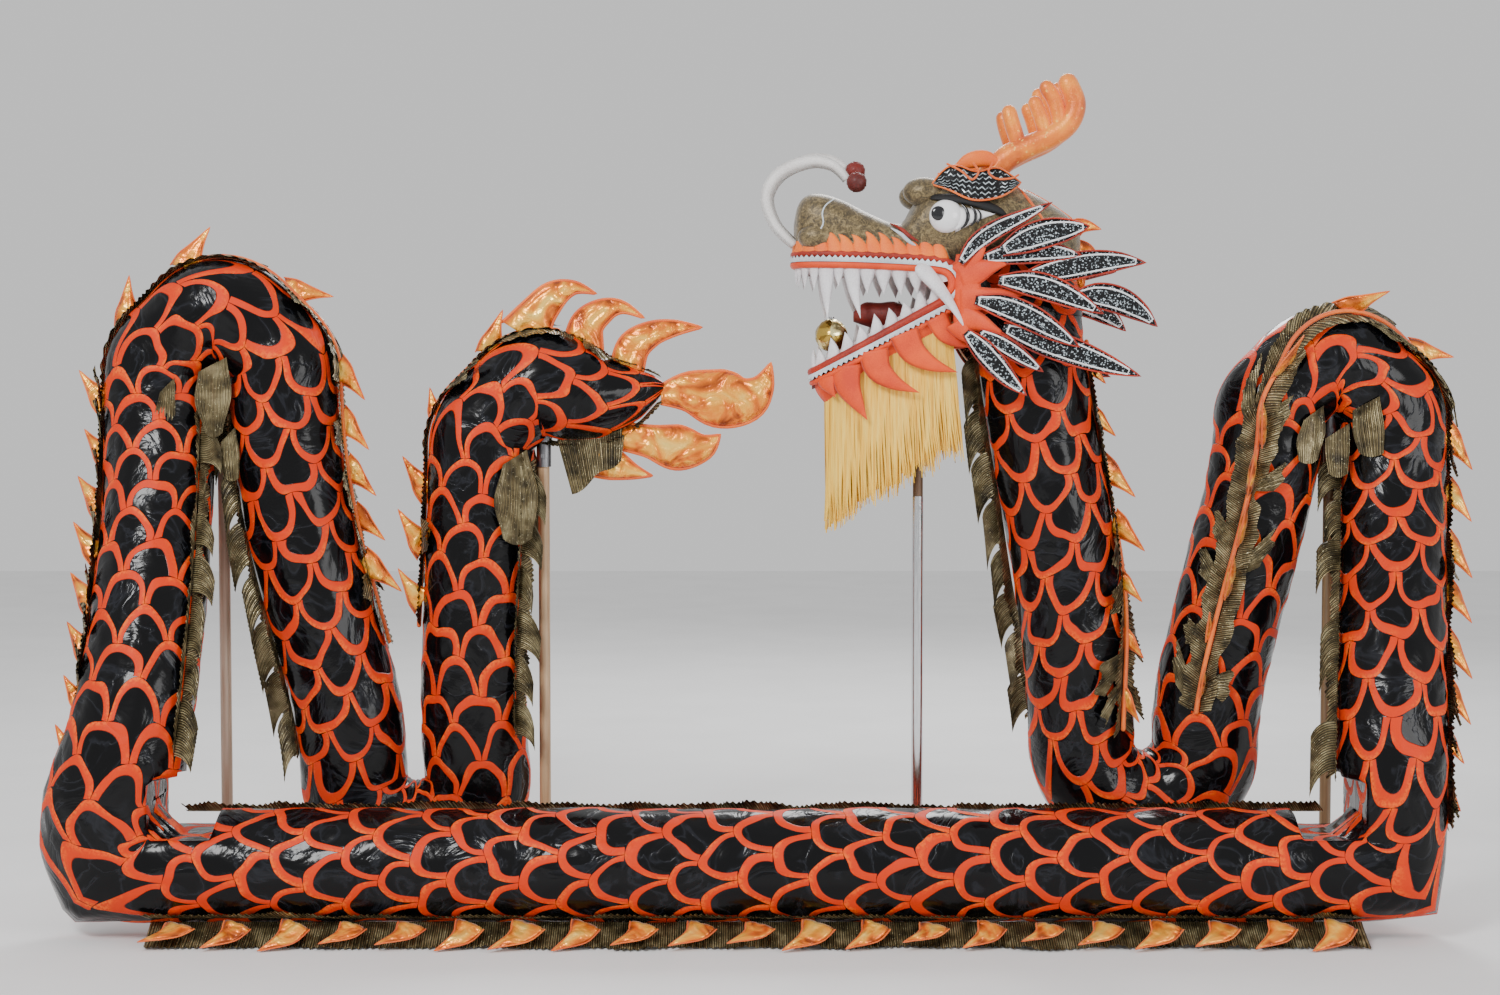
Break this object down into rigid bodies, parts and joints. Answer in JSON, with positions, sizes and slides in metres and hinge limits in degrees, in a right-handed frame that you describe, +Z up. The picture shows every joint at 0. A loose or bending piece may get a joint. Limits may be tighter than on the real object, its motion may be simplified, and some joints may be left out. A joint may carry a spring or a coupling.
{
  "type": "dance dragon",
  "caption": "Cloth dance dragon on poles: a hollow scaled sleeve folded into arches over a floor run, with a horned head, a pearl in its open jaws and a flame tail.",
  "frame": {"origin": "centre of the head pole's foot, on the floor", "axes": "+X from the head's pole towards the right arch, along the dragon's length; +Y away from the side that is looked at; +Z up"},
  "size_m": [3.106, 0.7119, 1.8217],
  "materials": {
    "scaled_cloth": "glossy black vinyl cloth with a printed orange scale net",
    "lame": "pleated antique gold and black lame",
    "gold_satin": "padded gold satin with an orange edge",
    "hoop_wire": "satin",
    "bracket": "moulded",
    "pole_wood": "bare turned wood with knots",
    "pole_wood_dark": "oiled turned wood",
    "pole_chrome": "polished tube",
    "rubber": "matt",
    "cane": "split cane",
    "brocade": "brown and gold brocade",
    "orange_cloth": "orange felt with a dark red and white edging",
    "white_foam": "white foam board",
    "red_cloth": "dark red velvet",
    "pearl_gold": "gold lacquer",
    "eye_gloss": "glossy white with a black pupil",
    "brow_cloth": "black with silver braid",
    "horn_cloth": "orange and gold satin over wadding",
    "lace": "black and silver lace with a white cord edge",
    "hair": "yellow tassel hair",
    "feeler_white": "white sprung strip"
  },
  "bodies": {
    "floor_run": {"floor_sleeve": "scaled_cloth", "floor_hoops": "hoop_wire", "floor_ruffle": "lame", "floor_fins": "gold_satin", "floor_seam_trim": "lame"},
    "right_arch": {"right_corner_sleeve": "scaled_cloth", "right_arch_sleeve": "scaled_cloth", "right_arch_hoops": "hoop_wire", "right_arch_bracket": "bracket", "right_pole": "pole_wood_dark", "right_pole_cap": "rubber", "right_arch_fins": "gold_satin", "right_arch_ruffles": "lame"},
    "neck": {"right_trough_sleeve": "scaled_cloth", "neck_sleeve": "scaled_cloth", "neck_hoops": "hoop_wire", "neck_fins": "gold_satin", "neck_ruffles": "lame"},
    "head": {"neck_top_sleeve": "scaled_cloth", "head_frame": "cane", "head_pole_shaft": "pole_wood_dark", "head_pole_tube": "pole_chrome", "head_pole_cap": "rubber", "skull": "brocade", "lower_jaw": "orange_cloth", "lip_rolls": "orange_cloth", "upper_teeth": "white_foam", "lower_teeth": "white_foam", "pearl_spindle": "pole_chrome", "eyes": "eye_gloss", "brows": "brow_cloth", "horns": "horn_cloth", "cheek_fins": "lace", "cheek_flames": "orange_cloth", "beard": "hair", "nape_crest": "gold_satin"},
    "tongue": {"tongue": "red_cloth"},
    "pearl": {"pearl": "pearl_gold"},
    "feeler_left": {"feeler_left": "feeler_white"},
    "feeler_right": {"feeler_right": "feeler_white"},
    "left_arch": {"left_corner_sleeve": "scaled_cloth", "left_arch_sleeve": "scaled_cloth", "left_arch_hoops": "hoop_wire", "left_arch_bracket": "bracket", "left_pole": "pole_wood", "left_pole_cap": "rubber", "left_arch_fins": "gold_satin", "left_arch_ruffles": "lame"},
    "tail_rise": {"left_trough_sleeve": "scaled_cloth", "tail_rise_sleeve": "scaled_cloth", "tail_rise_hoops": "hoop_wire", "tail_rise_fins": "gold_satin", "tail_rise_ruffles": "lame"},
    "tail": {"tail_elbow_sleeve": "scaled_cloth", "tail_cone_sleeve": "scaled_cloth", "tail_frame": "hoop_wire", "tail_pole": "pole_wood", "tail_pole_cap": "rubber", "tail_flames": "gold_satin", "tail_ruffles": "lame"}
  },
  "joints": [
    {"name": "right_corner_swing", "type": "hinge", "parent": "floor_run", "child": "right_arch", "pos_m": [0.962, -0.3, 0.148], "axis": [0, 0, -1], "range_deg": [0, 45], "deforming": ["right_corner_sleeve"]},
    {"name": "right_trough_swing", "type": "hinge", "parent": "right_arch", "child": "neck", "pos_m": [0.5, 0, 0.36], "axis": [0, 0, -1], "range_deg": [-15, 45], "deforming": ["right_trough_sleeve"]},
    {"name": "head_turn", "type": "hinge", "parent": "neck", "child": "head", "pos_m": [0, 0, 1.1], "axis": [0, 0, 1], "range_deg": [-35, 35], "deforming": ["neck_top_sleeve"]},
    {"name": "tongue_bob", "type": "hinge", "parent": "head", "child": "tongue", "pos_m": [0.022, 0, 1.288], "axis": [0, 1, 0], "range_deg": [-8, 8], "stiffness_Nm_per_rad": 4, "springref_deg": 1.72},
    {"name": "pearl_spin", "type": "hinge", "parent": "head", "child": "pearl", "pos_m": [-0.191, 0, 1.258], "axis": [0, 0, 1], "continuous": true},
    {"name": "feeler_left_bob", "type": "hinge", "parent": "head", "child": "feeler_left", "pos_m": [-0.284, -0.034, 1.452], "axis": [0, 1, 0], "range_deg": [-10, 4], "stiffness_Nm_per_rad": 1.5, "springref_deg": -0.86},
    {"name": "feeler_right_bob", "type": "hinge", "parent": "head", "child": "feeler_right", "pos_m": [-0.284, 0.034, 1.452], "axis": [0, 1, 0], "range_deg": [-10, 8], "stiffness_Nm_per_rad": 1.5, "springref_deg": -0.86},
    {"name": "left_corner_swing", "type": "hinge", "parent": "floor_run", "child": "left_arch", "pos_m": [-1.676, -0.3, 0.148], "axis": [0, 0, 1], "range_deg": [0, 45], "deforming": ["left_corner_sleeve"]},
    {"name": "left_trough_swing", "type": "hinge", "parent": "left_arch", "child": "tail_rise", "pos_m": [-1.11, 0, 0.29], "axis": [0, 0, 1], "range_deg": [-15, 45], "deforming": ["left_trough_sleeve"]},
    {"name": "tail_turn", "type": "hinge", "parent": "tail_rise", "child": "tail", "pos_m": [-0.824, 0, 1.05], "axis": [0, 0, 1], "range_deg": [-45, 45], "deforming": ["tail_elbow_sleeve"]}
  ]
}
